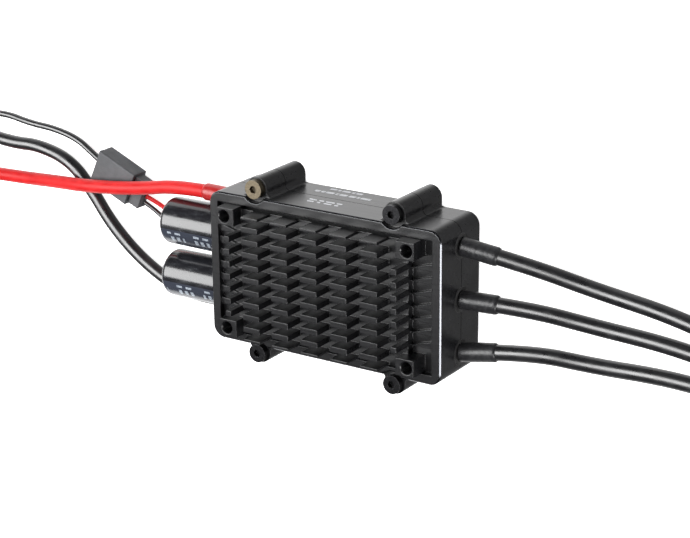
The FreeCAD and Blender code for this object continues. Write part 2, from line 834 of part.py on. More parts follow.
def wall_fittings():
    """Rubber bushings in the end walls, the wire ends inside them and the solder joints."""
    wall = size("wall_thick")
    bushings, roots, joints = [], [], []
    board_top = size("power_board_level") + size("power_board_thick")
    inner_face = MOTOR_END - wall
    for row, step in MOTOR_ROWS.items():
        y = step * size("motor_wire_row")
        port = ("motor_sleeve_radius + 0.8", "motor_wire_radius", "wall_thick")
        bushings.append(tube(f"bushing_{row}", *port, (inner_face, y, SEAM), (1, 0, 0)))
        root = (inner_face - 3.5, y, SEAM)
        reach = "wall_thick + 3.5"
        roots.append(cylinder(f"root_{row}", "motor_wire_radius", reach, root, (1, 0, 0)))
        joints.append(box(f"joint_{row}", "3.6", "4", "2.0", (26.6, y), board_top))
    group("motor_wire_bushings", bushings)
    group("motor_wire_roots", roots)
    supply = SUPPLY_END + wall
    y = size("positive_row")
    port = ("power_sleeve_radius + 0.5", "power_wire_radius", "wall_thick")
    node(tube("positive_bush", *port, (SUPPLY_END, y, SEAM), (1, 0, 0)), "positive_bushing")
    low = (SUPPLY_END, size("negative_row"), size("negative_level"))
    port = ("power_wire_radius + 0.4", "power_wire_radius", "wall_thick")
    node(tube("negative_bush", *port, low, (1, 0, 0)), "negative_bushing")
    inward = [("positive_row", SEAM, "5.3"), ("negative_row", size("negative_level"), "3.1")]
    power_roots = []
    for i, (row, up, deep) in enumerate(inward):
        root = (SUPPLY_END, size(row), up)
        power_roots.append(cylinder(f"power_root_{i}", "power_wire_radius", deep, root, (1, 0, 0)))
    group("power_wire_roots", power_roots)
    seal = box("signal_block", "wall_thick", "3.4", "2.0", (supply - wall / 2, 0), 0)
    seal.Placement.Base += Vector(0, size("signal_row"), size("signal_level") - 1)
    signal_roots, bores = [], []
    for side in (-1, 1):
        place = (SUPPLY_END, size("signal_row") + side * 0.8, size("signal_level"))
        sizes = ("signal_wire_radius", "wall_thick", place, (1, 0, 0))
        bores.append(cylinder(f"signal_bore_{side:+d}", *sizes))
        sizes = ("signal_wire_radius", "5", place, (1, 0, 0))
        signal_roots.append(cylinder(f"signal_root_{side:+d}", *sizes))
    node(cut("signal_plugged", seal, fuse("signal_bores", bores)), "signal_seal")
    group("signal_wire_roots", signal_roots)
    group("solder_joints", joints)


# ---------------------------------------------------------------- signal connector


def signal_plug():
    """The plug on the controller's own lead: a body with a keyed nose inside the socket."""
    body = new_body("signal_plug")
    half = "nose_width/2"
    nose_end = "socket_length/2 - nose_length"
    grip_start, grip_end = "socket_length/2 + 0.2", "socket_length/2 + grip_length"
    shell = sketch(body, "plug_shell", level="(socket_tall - nose_tall)/2")
    add_rectangle(shell, nose_end, f"-{half}", f"{grip_end} - 0.2", half)
    pad(body, shell, "nose_tall")
    grip = sketch(body, "plug_grip", level="(socket_tall - nose_tall)/2 - grip_rise")
    wide = f"{half} + 0.4"
    add_rectangle(grip, grip_start, f"-({wide})", grip_end, wide)
    pad(body, grip, "nose_tall + 2*grip_rise")
    bores = sketch(body, "plug_bores", "YZ_Plane", f"{nose_end} - 1")
    for row in CONTACT_ROWS:
        add_circle(bores, f"{row} * contact_pitch", "socket_tall/2", "contact_radius")
    pocket(body, bores, "nose_length + 1 + grip_length/2", reverse=True)
    body.Placement = CONNECTOR_PLACE


def extension_socket():
    """A shrouded housing that takes the plug's nose, open towards the controller."""
    body = new_body("extension_socket")
    shell = sketch(body, "socket_shell")
    add_centred(shell, "socket_length", "socket_width")
    pad(body, shell, "socket_tall")
    long_edge = size("socket_length") - 0.1
    dress(body, "Fillet", lambda edge: edge.Length > long_edge, Radius="0.5")
    mouth = sketch(body, "socket_mouth", "YZ_Plane", "socket_length/2 + 1")
    add_centred(mouth, "nose_width + 0.2", "nose_tall + 0.2", "0", "socket_tall/2")
    pocket(body, mouth, "nose_length + 1.2")
    body.Placement = CONNECTOR_PLACE


def extension_pins():
    """Three pins that stand in the socket and run into the plug's contacts."""
    floor = size("socket_length") / 2 - size("nose_length") - 0.2
    middle = size("socket_tall") / 2
    along = tuple(CONNECTOR_TURN.multVec(Vector(1, 0, 0)))
    pins = []
    for row in CONTACT_ROWS:
        base = on_connector(floor, row * size("contact_pitch"), middle)
        pins.append(cylinder(f"pin_{row:+d}", "pin_radius", "nose_length - 0.4", base, along))
    group("extension_pins", pins)


def signal_wires():
    """Two thin wires from the end wall, flat under the capacitors and up into the plug."""
    for name, route in SIGNAL_ROUTES.items():
        cord(f"signal_wire_{name}", route, size("signal_wire_radius"))


def extension_lead():
    """The extension's cable: out of the socket's back, flat on the surface, to its own plug."""
    cord("extension_lead", EXTENSION_ROUTE, size("lead_radius"), from_wall=False)
    last, before = Vector(*EXTENSION_ROUTE[-1]), Vector(*EXTENSION_ROUTE[-2])
    along = Vector(last.x - before.x, last.y - before.y, 0).normalize()
    wide, tall = 7.6, 2.6
    gap, length, bore_deep = 0.3, 14, 4.5
    shell = Part.makeBox(length, wide, tall, Vector(gap, -wide / 2, -tall / 2))
    for row in CONTACT_ROWS:
        mouth = Vector(gap + length, row * size("contact_pitch"), 0)
        shell = shell.cut(
            Part.makeCylinder(size("contact_radius"), bore_deep, mouth, Vector(-1, 0, 0))
        )
    solid("extension_plug", shell, Placement(last, Rotation(Vector(1, 0, 0), along)))


# ---------------------------------------------------------------- build, check, export


def check_and_export():
    DOC.recompute()
    for thing in DOC.Objects:
        if "Invalid" in thing.State or "Error" in thing.State:
            raise RuntimeError(f"{thing.Name} failed: {thing.State}")
    for thing in NODES:
        shape = thing.Shape
        if shape.isNull() or not shape.isValid():
            raise RuntimeError(f"{thing.Label} has no valid shape")
    os.makedirs("parts", exist_ok=True)
    for thing in NODES:
        thing.Shape.exportStep(f"parts/{thing.Label}.step")
        print(f"{thing.Label}: {len(thing.Shape.Solids)} solid(s), {thing.Shape.Volume:.1f} mm3")


heatsink_shell()
back_shell()
insulating_film()
case_screws()
boards()
power_parts()
control_parts()
capacitors()
wires()
sleeves()
wall_fittings()
signal_plug()
extension_socket()
extension_pins()
signal_wires()
extension_lead()
check_and_export()
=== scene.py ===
import math

import bmesh
import bpy
from mathutils import Matrix, Vector


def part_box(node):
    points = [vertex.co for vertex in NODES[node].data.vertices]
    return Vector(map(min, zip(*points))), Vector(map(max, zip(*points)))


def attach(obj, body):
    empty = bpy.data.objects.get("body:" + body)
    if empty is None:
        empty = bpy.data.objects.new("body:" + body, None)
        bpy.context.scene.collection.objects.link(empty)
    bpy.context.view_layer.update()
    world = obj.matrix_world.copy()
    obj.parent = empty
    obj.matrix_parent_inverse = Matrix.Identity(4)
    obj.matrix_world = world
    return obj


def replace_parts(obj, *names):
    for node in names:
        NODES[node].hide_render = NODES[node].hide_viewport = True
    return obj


# Looks of the electronic speed controller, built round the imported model. Metres.
# +Z out through the fins, +X towards the motor wires, floor at Z = 0.

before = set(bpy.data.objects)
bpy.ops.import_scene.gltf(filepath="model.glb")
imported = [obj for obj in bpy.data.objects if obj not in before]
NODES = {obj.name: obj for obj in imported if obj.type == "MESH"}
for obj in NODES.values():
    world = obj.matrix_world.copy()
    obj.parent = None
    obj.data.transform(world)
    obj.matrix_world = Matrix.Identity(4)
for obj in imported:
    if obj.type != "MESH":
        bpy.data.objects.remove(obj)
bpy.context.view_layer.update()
MM = 0.001

bpy.context.scene.view_settings.view_transform = "Standard"


# ---------------------------------------------------------------- camera


def make_camera():
    """Looks down across the fins from the motor end, rolled so that the case lies level."""
    right = Vector((0.83790, -0.00910, -0.54574))
    down = Vector((0.16931, -0.94621, 0.27572))
    forward = Vector((-0.51890, -0.32343, -0.79129))
    data = bpy.data.cameras.new("camera")
    data.sensor_width = 36
    data.lens = 104.1
    data.clip_start = 0.01
    data.clip_end = 20
    camera = bpy.data.objects.new("camera", data)
    turn = Matrix((right, -down, -forward)).transposed().to_4x4()
    camera.matrix_world = Matrix.Translation((0.2573, 0.1619, 0.4007)) @ turn
    bpy.context.collection.objects.link(camera)
    bpy.context.scene.camera = camera


make_camera()


# ---------------------------------------------------------------- cords

WIRES = {
    "motor_wire_upper": [
        (0.0337, 0.0135, 0.00906),
        (0.0500, 0.0104, 0.0056),
        (0.0665, 0.0061, 0.0023),
        (0.0830, 0.0039, 0.0020),
        (0.0970, 0.0006, 0.0020),
        (0.1090, -0.0006, 0.0020),
    ],
    "motor_wire_middle": [
        (0.0337, 0.0, 0.00906),
        (0.0500, -0.0003, 0.0058),
        (0.0665, -0.0029, 0.0023),
        (0.0830, -0.0037, 0.0020),
        (0.0970, -0.0056, 0.0020),
        (0.1090, -0.0062, 0.0020),
    ],
    "motor_wire_lower": [
        (0.0337, -0.0135, 0.00906),
        (0.0506, -0.0109, 0.0062),
        (0.0665, -0.0127, 0.0022),
        (0.0830, -0.0119, 0.0020),
        (0.0970, -0.0126, 0.0020),
        (0.1090, -0.0120, 0.0020),
    ],
    "power_wire_positive": [
        (-0.0337, 0.0152, 0.00906),
        (-0.0495, 0.0156, 0.0088),
        (-0.0660, 0.0120, 0.0080),
        (-0.0830, 0.0102, 0.0082),
        (-0.0970, 0.0086, 0.0049),
        (-0.1100, 0.0068, 0.0018),
        (-0.1230, 0.0064, 0.0018),
    ],
    "power_wire_negative": [
        (-0.0337, -0.0152, 0.0041),
        (-0.0445, -0.0166, 0.0029),
        (-0.0580, -0.0162, 0.0018),
        (-0.0705, -0.0100, 0.0018),
        (-0.0802, -0.0016, 0.0018),
        (-0.0862, 0.0066, 0.0018),
        (-0.0936, 0.0142, 0.0018),
        (-0.1050, 0.0170, 0.0018),
        (-0.1145, 0.0164, 0.0018),
        (-0.1230, 0.0174, 0.0018),
    ],
    "signal_wire_red": [
        (-0.0337, 0.0018, 0.0026),
        (-0.0374, 0.00185, 0.0019),
        (-0.0415, 0.0020, 0.0009),
        (-0.0480, 0.0022, 0.0006),
        (-0.0545, 0.0027, 0.0006),
        (-0.0603, 0.0040, 0.0006),
        (-0.0639, 0.0066, 0.0012),
        (-0.06741, 0.00818, 0.0020),
    ],
    "signal_wire_black": [
        (-0.0337, 0.0002, 0.0026),
        (-0.0378, 0.00015, 0.0016),
        (-0.0430, 0.0, 0.0007),
        (-0.0495, -0.0003, 0.0006),
        (-0.0560, -0.0002, 0.0006),
        (-0.0616, 0.0013, 0.0006),
        (-0.0649, 0.0042, 0.0010),
        (-0.06822, 0.00636, 0.0019),
    ],
    "extension_lead": [
        (-0.08195, 0.01597, 0.0027),
        (-0.08592, 0.01763, 0.0018),
        (-0.0915, 0.0204, 0.0009),
        (-0.0995, 0.0222, 0.0009),
        (-0.1085, 0.0226, 0.0009),
        (-0.1175, 0.0242, 0.0009),
        (-0.1260, 0.0232, 0.0009),
        (-0.1316, 0.0176, 0.0009),
        (-0.1326, 0.0096, 0.0009),
        (-0.1314, 0.0032, 0.0024),
    ],
}
DIAMETERS = {
    "motor_wire_upper": 0.0040,
    "motor_wire_middle": 0.0040,
    "motor_wire_lower": 0.0040,
    "power_wire_positive": 0.0036,
    "power_wire_negative": 0.0036,
    "signal_wire_red": 0.0012,
    "signal_wire_black": 0.0012,
    "extension_lead": 0.0018,
}


def spline_curve(name, points, radius):
    """A round cord along a smooth spline that the points control, or only its line at radius 0."""
    data = bpy.data.curves.new(name, "CURVE")
    data.dimensions = "3D"
    data.resolution_u = 16
    # The bevel of 1 m is scaled down by each point's own radius, which keeps the curve's box tight.
    data.bevel_depth = 1.0 if radius else 0.0
    data.bevel_resolution = 8
    data.use_fill_caps = True
    spline = data.splines.new("NURBS")
    spline.points.add(len(points) - 1)
    for point, place in zip(spline.points, points):
        point.co = (*place, 1.0)
        point.radius = radius
    spline.order_u = 3
    spline.use_endpoint_u = True
    made = bpy.data.objects.new(name, data)
    bpy.context.collection.objects.link(made)
    return made


def centre_line(points):
    """The points of the spline itself, as the curve gives them with no bevel."""
    probe = spline_curve("probe", points, 0)
    probe.data.use_fill_caps = False
    bpy.context.view_layer.update()
    mesh = bpy.data.meshes.new_from_object(probe)
    found = [v.co.copy() for v in mesh.vertices]
    bpy.data.objects.remove(probe)
    bpy.data.meshes.remove(mesh)
    return found


LINES = {name: centre_line(points) for name, points in WIRES.items()}
CORDS = {}


def make_cords():
    """Every free wire as a curve that rides on its body and replaces its plain tube."""
    for name, points in WIRES.items():
        piece = spline_curve(name + "_jacket", points, DIAMETERS[name] / 2)
        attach(piece, "extension" if name == "extension_lead" else "controller")
        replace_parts(piece, name)
        CORDS[name] = piece


make_cords()


# ---------------------------------------------------------------- sleeves, wire ends, cans


def new_piece(name, made, body="controller", smooth=True):
    """Turns a finished bmesh into a piece that rides on a body."""
    bmesh.ops.recalc_face_normals(made, faces=made.faces)
    data = bpy.data.meshes.new(name)
    made.to_mesh(data)
    made.free()
    data.polygons.foreach_set("use_smooth", [smooth] * len(data.polygons))
    piece = bpy.data.objects.new(name, data)
    bpy.context.collection.objects.link(piece)
    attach(piece, body)
    return piece


def skin(made, rings):
    """Closes a row of rings, each a list of points, into one capped tube."""
    loops = [[made.verts.new(point) for point in ring] for ring in rings]
    count = len(loops[0])
    for near, far in zip(loops, loops[1:]):
        for i in range(count):
            j = (i + 1) % count
            made.faces.new((near[i], near[j], far[j], far[i]))
    made.faces.new(loops[0])
    made.faces.new(loops[-1])


def ring_at(centre, along, radius, count=32, ripple=None):
    """A ring of points round a centre, square to a direction."""
    across = along.cross(Vector((0, 0, 1))).normalized()
    upward = across.cross(along)
    points = []
    for i in range(count):
        turn = 2 * math.pi * i / count
        reach = radius * (1 + ripple(turn)) if ripple else radius
        points.append(centre + (across * math.cos(turn) + upward * math.sin(turn)) * reach)
    return points


def place_on(line, distance):
    """The point and direction at a distance along a line of points."""
    gone = 0.0
    for a, b in zip(line, line[1:]):
        step = (b - a).length
        if gone + step >= distance:
            return a.lerp(b, (distance - gone) / step), (b - a).normalized()
        gone += step
    return line[-1].copy(), (line[-1] - line[-2]).normalized()


def shrink_sleeve(made, line, wire, sleeve, length, phase):
    """Heat-shrink that grips the wire: a little puckered, with a drawn-in lip at its end."""
    lip = 0.7 * MM
    steps = 28
    rings = [ring_at(*place_on(line, 0), wire * 0.8)]
    for i in range(steps + 1):
        along = length * i / steps
        drawn = max(0.0, (along - length + lip) / lip)
        radius = sleeve * (0.985 - 0.015 * math.sin(3.1 * i / steps + phase))
        radius -= (sleeve - wire) * 0.55 * drawn**2

        def ripple(turn, i=i):
            return 0.007 * math.sin(3 * turn + phase + 0.55 * i) * math.sin(0.9 * i + phase)

        rings.append(ring_at(*place_on(line, along), radius, ripple=ripple))
    rings.append(ring_at(*place_on(line, length + 0.08 * MM), wire * 0.95))
    skin(made, rings)


# Radius of the wire, radius of the sleeve, and how far the sleeve reaches along the wire.
MOTOR_SLEEVE = (2.0 * MM, 2.4 * MM, 9.4 * MM)
POSITIVE_SLEEVE = (1.8 * MM, 2.25 * MM, 8.4 * MM)


def make_sleeves():
    """The three black sleeves in one piece, and the red one in another."""
    made = bmesh.new()
    for phase, row in enumerate(("upper", "middle", "lower")):
        shrink_sleeve(made, LINES["motor_wire_" + row], *MOTOR_SLEEVE, 1.7 * phase)
    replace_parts(new_piece("motor_shrink", made), "motor_wire_sleeves")
    made = bmesh.new()
    shrink_sleeve(made, LINES["power_wire_positive"], *POSITIVE_SLEEVE, 0.6)
    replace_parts(new_piece("positive_shrink", made), "positive_sleeve")


def stranded_tip(made, line, radius, length):
    """A tinned twist of fine strands round a core, a touch frayed at the cut."""
    start, along = line[-1], (line[-1] - line[-2]).normalized()
    across = along.cross(Vector((0, 0, 1))).normalized()
    upward = across.cross(along)
    strand = radius * 0.26
    steps = 14
    inside = 0.3 * MM
    for layer, count in ((0.0, 1), (0.42, 5), (0.74, 10)):
        for k in range(count):
            rings = []
            for i in range(steps + 1):
                s = i / steps
                spread = layer * (1.0 + 0.04 * math.sin(5.0 * k) * s * s)
                turn = 2 * math.pi * (k / count + 0.45 * s)
                side = across * math.cos(turn) + upward * math.sin(turn)
                reach = length * s * (1 - 0.03 * (k % 3)) - inside
                centre = start + along * reach + side * spread * radius
                rings.append(ring_at(centre, along, strand, 8))
            skin(made, rings)


TIP_LENGTH = 6 * MM


def make_tips():
    """The tinned ends of all motor wires in one piece, and of both power wires in another."""
    ends = {
        "motor_strands": ("motor_wire_tips", 1.4 * MM, "motor_wire_"),
        "power_strands": ("power_wire_tips", 1.25 * MM, "power_wire_"),
    }
    for name, (replaced, radius, wires) in ends.items():
        made = bmesh.new()
        for wire, line in LINES.items():
            if wire.startswith(wires):
                stranded_tip(made, line, radius, TIP_LENGTH)
        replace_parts(new_piece(name, made), replaced)


# Where the axes of the two capacitors lie: their places in Y, and their height.
CAN_ROWS = (6.0 * MM, -8.3 * MM)
CAN_LEVEL = 9.06 * MM


def lathe(made, row, outline, count=72):
    """Turns a closed outline of (x, radius) points round the axis of one capacitor."""
    turned = []
    for i in range(count):
        turn = 2 * math.pi * i / count
        side = Vector((0, math.cos(turn), math.sin(turn)))
        middle = Vector((0, row, CAN_LEVEL))
        turned.append([made.verts.new(Vector((x, 0, 0)) + middle + side * r) for x, r in outline])
    for near, far in zip(turned, turned[1:] + turned[:1]):
        for j in range(len(outline)):
            k = (j + 1) % len(outline)
            made.faces.new((near[j], near[k], far[k], far[j]))


def make_cans():
    """Shrink film with a rolled lip over each can's end, and the scored vent inside the lip."""
    wall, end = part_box("capacitor_sleeves")[1][0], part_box("capacitor_cans")[0][0]
    shape = [(0.0, 6.10), (0.12, 6.20), (0.4, 6.24), (17.6, 6.24), (18.25, 6.16), (18.7, 5.94)]
    shape += [(19.0, 5.62), (19.12, 5.25), (19.08, 5.02), (18.98, 5.0), (18.9, 5.3), (18.0, 6.05)]
    outline = [(wall - along * MM, radius * MM) for along, radius in shape]
    made = bmesh.new()
    for row in CAN_ROWS:
        lathe(made, row, outline)
    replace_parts(new_piece("capacitor_film", made), "capacitor_sleeves")
    made = bmesh.new()
    reach, half, proud = 3.6 * MM, 0.13 * MM, 0.05 * MM
    for row in CAN_ROWS:
        for turn in (0.3, 0.3 + math.pi / 3, 0.3 + 2 * math.pi / 3):
            side = Vector((0, math.cos(turn), math.sin(turn)))
            square = Vector((0, -math.sin(turn), math.cos(turn)))
            middle = Vector((end, row, CAN_LEVEL))
            rings = []
            for s in (-1, -0.9, 0.9, 1):
                wide = half * (0.3 if abs(s) == 1 else 1)
                spot = middle + side * reach * s
                away = Vector((-proud, 0, 0))
                rings.append([spot - square * wide, spot + away, spot + square * wide, spot - away])
            skin(made, rings)
    new_piece("vent_scores", made, smooth=False)


def plate(made, low, high, slant=0.0, face=19.5, thick=0.03):
    """A thin printed bar on the upper side wall, from (x, z) to (x, z), with round corners."""
    (x_low, z_low), (x_high, z_high) = low, high
    radius = 0.22 * min(x_high - x_low, z_high - z_low)
    points = []
    for x, z, first in (
        (x_high - radius, z_high - radius, 0),
        (x_low + radius, z_high - radius, 1),
        (x_low + radius, z_low + radius, 2),
        (x_high - radius, z_low + radius, 3),
    ):
        for step in range(4):
            turn = math.pi / 2 * (first + step / 3)
            points.append((x + radius * math.cos(turn), z + radius * math.sin(turn)))
    rings = []
    for y in (face - thick, face + thick):
        rings.append([Vector((x + slant * (z - z_low), y, z)) * MM for x, z in points])
    skin(made, rings)


SLANTED_BARS = ((0.0, 2.2), (2.9, 4.3), (4.9, 7.4), (8.0, 9.6))
UPPER_DASHES = (
    (0, 1.5), (1.9, 3.0), (3.3, 5.6), (6.2, 6.9),
    (7.3, 9.5), (10.1, 12.0), (12.4, 13.1), (13.5, 16.4),
)
LOWER_DASHES = ((0, 2.1), (2.5, 3.3), (3.7, 6.0), (6.5, 7.4), (7.8, 9.6))


def make_marks():
    """Plain bars and dashes in place of printing: two rows of slanted bars and two of dashes."""
    made = bmesh.new()
    for i, (low, high) in enumerate(SLANTED_BARS):
        plate(made, (-7.9 + low, 11.7), (-7.9 + high, 12.5), 0.35)
        plate(made, (-7.9 + low + 0.3, 13.2), (-7.9 + high - 0.2 * (i % 2), 14.0), 0.35)
    for low, high in UPPER_DASHES:
        plate(made, (-10.6 + low, 4.7), (-10.6 + high, 5.9))
    for low, high in LOWER_DASHES:
        plate(made, (-8.0 + low, 1.9), (-8.0 + high, 2.9))
    new_piece("side_marks", made, smooth=False)


make_sleeves()
make_tips()
make_cans()
make_marks()


# ---------------------------------------------------------------- material helpers


class Recipe:
    """A node material being put together round one Principled shader."""

    def __init__(self, name, colour, roughness, metallic=0.0):
        self.material = bpy.data.materials.new(name)
        self.material.use_nodes = True
        self.tree = self.material.node_tree
        self.shader = self.tree.nodes["Principled BSDF"]
        self.set("Base Color", (*colour, 1.0))
        self.set("Roughness", roughness)
        self.set("Metallic", metallic)
        self.material.diffuse_color = (*colour, 1.0)

    def set(self, socket, value):
        self.shader.inputs[socket].default_value = value
        return self

    def add(self, kind, **fields):
        made = self.tree.nodes.new("ShaderNode" + kind)
        for field, value in fields.items():
            setattr(made, field, value)
        return made

    def link(self, source, target):
        self.tree.links.new(source, target)

    def feed(self, source, socket):
        self.link(source, self.shader.inputs[socket])

    def place(self, stretch=(1, 1, 1)):
        """Object coordinates in millimetres, squeezed along each axis by stretch."""
        coords = self.add("TexCoord")
        mapping = self.add("Mapping")
        mapping.inputs["Scale"].default_value = [1000 * s for s in stretch]
        self.link(coords.outputs["Object"], mapping.inputs["Vector"])
        return mapping.outputs["Vector"]

    def noise(self, per_mm, detail=3.0, stretch=(1, 1, 1), rough=0.55):
        made = self.add("TexNoise")
        made.inputs["Scale"].default_value = per_mm
        made.inputs["Detail"].default_value = detail
        made.inputs["Roughness"].default_value = rough
        self.link(self.place(stretch), made.inputs["Vector"])
        return made.outputs["Fac"]

    def ramp(self, source, *stops):
        """Stops are (position, grey or colour)."""
        made = self.add("ValToRGB")
        elements = made.color_ramp.elements
        while len(elements) < len(stops):
            elements.new(0.5)
        for element, (position, value) in zip(elements, stops):
            element.position = position
            grey = isinstance(value, (int, float))
            element.color = (value, value, value, 1) if grey else (*value, 1)
        self.link(source, made.inputs["Fac"])
        return made.outputs["Color"]

    def patches(self, source):
        """A noise stretched so that it runs from 0 to 1, with plain patches of both."""
        return self.ramp(source, (0.35, 0.0), (0.7, 1.0))

    def math(self, operation, first, second=None, third=None):
        made = self.add("Math", operation=operation)
        for socket, value in zip(made.inputs, (first, second, third)):
            if isinstance(value, (int, float)):
                socket.default_value = value
            elif value is not None:
                self.link(value, socket)
        return made.outputs[0]

    def mix(self, factor, first, second):
        """The first colour where the factor is 0, and the second where it is 1."""
        made = self.add("Mix", data_type="RGBA")
        sockets = (made.inputs[0], made.inputs[6], made.inputs[7])
        for socket, value in zip(sockets, (factor, first, second)):
            if isinstance(value, (int, float)):
                socket.default_value = value
            elif isinstance(value, tuple):
                socket.default_value = (*value, 1)
            else:
                self.link(value, socket)
        return made.outputs[2]

    def split(self, vector):
        made = self.add("SeparateXYZ")
        self.link(vector, made.inputs[0])
        return made.outputs

    def band(self, source, low, high):
        """1 where the source lies between low and high."""
        above = self.math("GREATER_THAN", source, low)
        below = self.math("LESS_THAN", source, high)
        return self.math("MULTIPLY", above, below)

    def relief(self, height, distance, strength=1.0, edge=None):
        """Bump from a height field, on top of softly rounded edges if edge is a radius."""
        bump = self.add("Bump")
        bump.inputs["Strength"].default_value = strength
        bump.inputs["Distance"].default_value = distance
        self.link(height, bump.inputs["Height"])
        if edge:
            soft = self.add("Bevel", samples=6)
            soft.inputs["Radius"].default_value = edge
            self.link(soft.outputs["Normal"], bump.inputs["Normal"])
        self.feed(bump.outputs["Normal"], "Normal")

    def edge_mask(self, radius, low=0.6, high=0.97):
        """1 along sharp edges, 0 on flats."""
        soft = self.add("Bevel", samples=6)
        soft.inputs["Radius"].default_value = radius
        flat = self.add("NewGeometry")
        dot = self.add("VectorMath", operation="DOT_PRODUCT")
        self.link(soft.outputs["Normal"], dot.inputs[0])
        self.link(flat.outputs["True Normal"], dot.inputs[1])
        return self.ramp(dot.outputs["Value"], (low, 1.0), (high, 0.0))


# ---------------------------------------------------------------- metals

# Millimetres. The four post holes lie symmetrically about the centre.
CASE = {"seam": 9.06, "seam_half": 0.09, "rim": 18.7, "chamfer": 0.35}
POST_HOLE = {"x": 26.45, "y": 14.7, "threaded_radius": 1.56, "thread_pitch": 0.5}


def anodised():
    """Satin black anodised aluminium: fine blast grain, machining streaks, bare chamfer, worn edges."""
    r = Recipe("anodised_black", (0.03, 0.03, 0.032), 0.3)
    grain = r.noise(6.0, 2.0)
    streaks = r.noise(1.5, 4.0, (0.02, 1.0, 1.0))
    cloud = r.noise(0.12, 4.0)
    tone = r.mix(r.patches(streaks), (0.0045, 0.0045, 0.005), (0.0075, 0.0075, 0.0085))
    tone = r.mix(r.ramp(cloud, (0.4, 0.0), (0.75, 0.35)), tone, (0.011, 0.0115, 0.013))
    worn = r.math("MULTIPLY", r.edge_mask(0.00022), r.ramp(grain, (0.3, 0.12), (0.75, 0.45)))
    tone = r.mix(worn, tone, (0.10, 0.105, 0.115))

    place = r.split(r.place())
    facing = r.split(r.add("TexCoord").outputs["Normal"])
    sloped = r.band(facing[2], 0.55, 0.85)
    near_rim = r.band(place[2], CASE["rim"] - CASE["chamfer"] - 0.1, CASE["rim"] + 0.1)
    bare = r.math("MULTIPLY", sloped, near_rim)
    tone = r.mix(bare, tone, (0.10, 0.102, 0.11))
    seam = r.band(place[2], CASE["seam"] - CASE["seam_half"], CASE["seam"] + CASE["seam_half"])
    tone = r.mix(seam, tone, (0.004, 0.004, 0.004))
    r.feed(tone, "Base Color")
    r.feed(bare, "Metallic")
    shine = r.math("MULTIPLY", r.math("SUBTRACT", 1.0, seam), 0.5)
    r.feed(shine, "Specular IOR Level")
    rough = r.ramp(streaks, (0.3, 0.27), (0.75, 0.32))
    r.feed(r.mix(bare, rough, (0.2, 0.2, 0.2)), "Roughness")

    per_turn = 2 * math.pi / POST_HOLE["thread_pitch"]
    grooves = r.math("SINE", r.math("MULTIPLY", place[2], per_turn))
    in_hole = r.math("LESS_THAN", hole_distance(r, place), POST_HOLE["threaded_radius"])
    thread = r.math("MULTIPLY", grooves, in_hole)
    height = r.math("ADD", r.math("MULTIPLY", grain, 0.008), r.math("MULTIPLY", streaks, 0.006))
    height = r.math("ADD", height, thread)
    height = r.math("SUBTRACT", height, r.math("MULTIPLY", seam, 2.0))
    r.relief(height, 0.00006, 0.5, edge=0.00028)
    return r.material


def hole_distance(r, place):
    """Distance in millimetres to the nearest post hole's axis."""
    across = r.math("SUBTRACT", r.math("ABSOLUTE", place[0]), POST_HOLE["x"])
    along = r.math("SUBTRACT", r.math("ABSOLUTE", place[1]), POST_HOLE["y"])
    squares = r.math("ADD", r.math("POWER", across, 2.0), r.math("POWER", along, 2.0))
    return r.math("SQRT", squares)


def metal(name, colour, roughness, per_mm=3.0, wear=(0.35, 0.33, 0.3)):
    """Turned or plated metal: fine grain, uneven polish and rubbed edges."""
    r = Recipe(name, colour, roughness, 1.0)
    grain = r.noise(per_mm, 4.0)
    dark = tuple(c * 0.7 for c in colour)
    tone = r.mix(r.patches(grain), dark, colour)
    rubbed = r.math("MULTIPLY", r.edge_mask(0.00015), 0.6)
    r.feed(r.mix(rubbed, tone, wear), "Base Color")
    r.feed(r.ramp(grain, (0.3, roughness * 0.8), (0.7, min(1.0, roughness * 1.3))), "Roughness")
    r.relief(grain, 0.00002, 0.4, edge=0.00012)
    return r.material


# ---------------------------------------------------------------- rubbers, plastics, film


def silicone(name, colour, shade, gloss=0.26, shine=0.8):
    """Extruded silicone rubber: smooth, with a little bloom and faint lengthwise draw marks."""
    r = Recipe(name, colour, gloss)
    bloom = r.noise(0.35, 4.0)
    fine = r.noise(6.0, 2.0)
    draw = r.noise(2.2, 2.0, (0.08, 1.0, 1.0))
    r.set("Specular IOR Level", shine)
    tone = r.mix(r.patches(bloom), shade, colour)
    r.feed(tone, "Base Color")
    r.feed(r.ramp(bloom, (0.3, gloss - 0.05), (0.75, gloss + 0.08)), "Roughness")
    height = r.math("ADD", r.math("MULTIPLY", fine, 0.06), draw)
    r.relief(height, 0.000015, 0.4)
    return r.material


def shrink(name, colour, shade):
    """Heat-shrunk tube: satin, faintly puckered where it gripped, with painted shade in the hollows of
    the puckers.
    """
    r = Recipe(name, colour, 0.42)
    pucker = r.noise(0.9, 3.0, (1.6, 0.7, 0.7))
    fine = r.noise(8.0, 2.0)
    # Painted shade: the darker colour lies in the hollows of the pucker relief.
    r.feed(r.mix(r.patches(pucker), shade, colour), "Base Color")
    r.feed(r.ramp(pucker, (0.3, 0.28), (0.7, 0.42)), "Roughness")
    height = r.math("ADD", pucker, r.math("MULTIPLY", fine, 0.15))
    r.relief(height, 0.00009, 0.6)
    return r.material


def moulded(name, colour, roughness=0.55, per_mm=5.0):
    """Injection-moulded plastic or epoxy: spark-eroded grain, and a painted highlight that makes every
    edge paler.
    """
    r = Recipe(name, colour, roughness)
    grain = r.noise(per_mm, 3.0)
    cloud = r.noise(0.3, 3.0)
    light = tuple(min(1.0, c * 1.35 + 0.004) for c in colour)
    tone = r.mix(r.patches(cloud), colour, light)
    # Painted highlight: every edge is mixed towards a paler colour.
    edge = r.math("MULTIPLY", r.edge_mask(0.0002), 0.35)
    pale = tuple(min(1.0, c * 1.6 + 0.05) for c in colour)
    r.feed(r.mix(edge, tone, pale), "Base Color")
    r.feed(r.ramp(grain, (0.3, roughness - 0.08), (0.7, roughness + 0.1)), "Roughness")
    r.relief(grain, 0.00003, 0.5, edge=0.0002)
    return r.material


